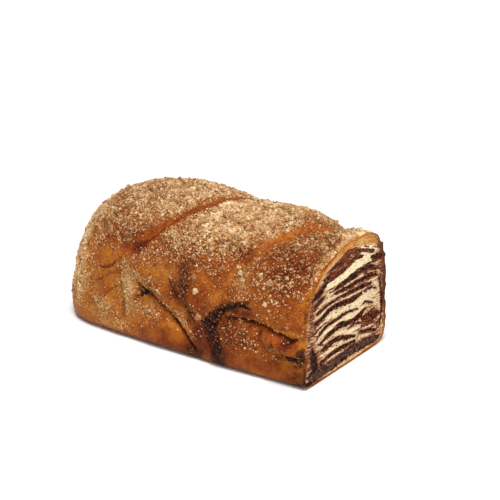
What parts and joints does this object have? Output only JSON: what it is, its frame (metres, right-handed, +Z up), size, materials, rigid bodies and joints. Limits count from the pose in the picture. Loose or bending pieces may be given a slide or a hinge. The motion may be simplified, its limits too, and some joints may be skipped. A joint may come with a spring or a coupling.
{
  "type": "chocolate babka loaf",
  "caption": "Twisted sweet loaf with a crumb-topped golden crust, cut straight at one end to show chocolate layers rolled through pale dough.",
  "frame": {"origin": "middle of the loaf's footprint on the surface it stands on", "axes": "+Z up; X along the loaf with the cut end at +X; the long side with the chocolate curl at -Y"},
  "size_m": [0.2286, 0.1198, 0.1041],
  "materials": {
    "crust": "baked golden brown crust with pale sugary crumb topping; pale cream dough at the cut end",
    "chocolate": "dark baked chocolate filling, slightly glossy and grainy",
    "crumb_topping": "pale and toasted streusel crumbs, matte"
  },
  "bodies": {
    "root": {"loaf": "crust", "filling_layer_01": "chocolate", "filling_layer_02": "chocolate", "filling_layer_03": "chocolate", "filling_layer_04": "chocolate", "filling_layer_05": "chocolate", "filling_layer_06": "chocolate", "filling_layer_07": "chocolate", "filling_layer_08": "chocolate", "filling_layer_09": "chocolate", "filling_layer_10": "chocolate", "filling_layer_11": "chocolate", "filling_layer_12": "chocolate", "filling_layer_13": "chocolate", "filling_layer_14": "chocolate", "filling_layer_15": "chocolate", "filling_layer_16": "chocolate", "filling_layer_17": "chocolate", "filling_curl": "chocolate", "filling_smear": "chocolate", "filling_seam": "chocolate", "filling_corner": "chocolate"}
  },
  "joints": []
}
